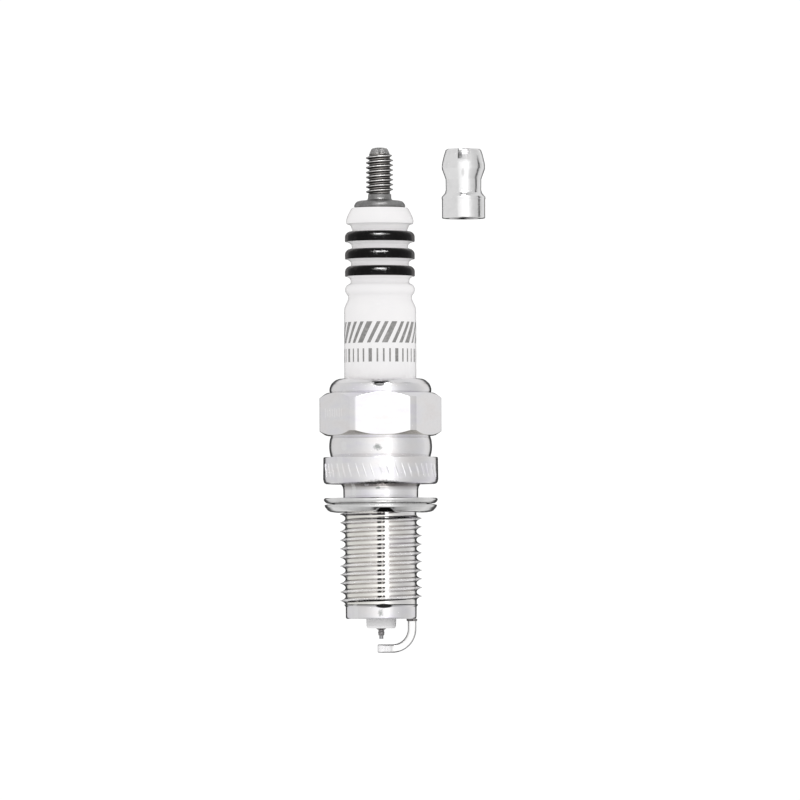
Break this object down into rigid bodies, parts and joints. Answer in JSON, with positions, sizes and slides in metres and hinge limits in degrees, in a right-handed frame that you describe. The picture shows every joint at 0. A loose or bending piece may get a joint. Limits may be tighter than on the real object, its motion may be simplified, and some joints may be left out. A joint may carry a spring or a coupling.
{
  "type": "spark plug",
  "caption": "Spark plug with a hexagonal plated steel shell, ribbed white ceramic insulator, threaded terminal stud, crush gasket and a separate screw-on terminal nut.",
  "frame": {"origin": "on the plug's axis, in the middle of the terminal stud's flat top end face", "axes": "+Z along the axis, out of the terminal; the electrodes are at -Z; +X from the axis to the side electrode's foot and to the loose terminal nut; -Y is the side that faces the viewer"},
  "size_m": [0.0241, 0.0166, 0.0732],
  "materials": {
    "gunmetal_steel": "dark satin",
    "nickel_plate_nut": "bright nickel plate",
    "white_glazed_ceramic": "glossy white glaze",
    "black_glaze": "glossy black glaze",
    "plated_steel": "bright nickel-plated steel",
    "gasket_steel": "plated sheet steel",
    "nickel_alloy": "turned nickel alloy",
    "side_electrode_nickel": "satin nickel alloy",
    "weld_steel": "upset weld metal",
    "iridium": "drawn precious-metal wire",
    "laser_weld": "fused bead",
    "copper": "copper",
    "conductive_glass": "fired conductive glass",
    "resistor_compound": "fired carbon and glass",
    "talc": "pressed powder",
    "packing_ring_steel": "drawn wire",
    "seat_washer_steel": "sheet steel"
  },
  "bodies": {
    "plug": {"terminal_stud": "gunmetal_steel", "insulator": "white_glazed_ceramic", "glaze_band_1": "black_glaze", "glaze_band_2": "black_glaze", "glaze_band_3": "black_glaze", "metal_shell": "plated_steel", "ground_electrode": "side_electrode_nickel", "ground_weld": "weld_steel", "centre_electrode": "nickel_alloy", "iridium_tip": "iridium", "tip_weld": "laser_weld", "copper_core": "copper", "lower_glass_seal": "conductive_glass", "resistor": "resistor_compound", "upper_glass_seal": "conductive_glass", "talc_filling": "talc", "packing_ring_upper": "packing_ring_steel", "packing_ring_lower": "packing_ring_steel", "seat_washer": "seat_washer_steel"},
    "loose_gasket": {"gasket": "gasket_steel"},
    "loose_nut": {"terminal_nut": "nickel_plate_nut"}
  },
  "joints": [
    {"name": "gasket_slide", "type": "slide", "parent": "plug", "child": "loose_gasket", "axis": [0, 0, 1], "range_m": [0, 0.002]},
    {"name": "nut_transfer", "type": "slide", "parent": "plug", "child": "loose_nut", "axis": [-0.5697, 0, 0.8219], "range_m": [0, 0.02129]}
  ]
}
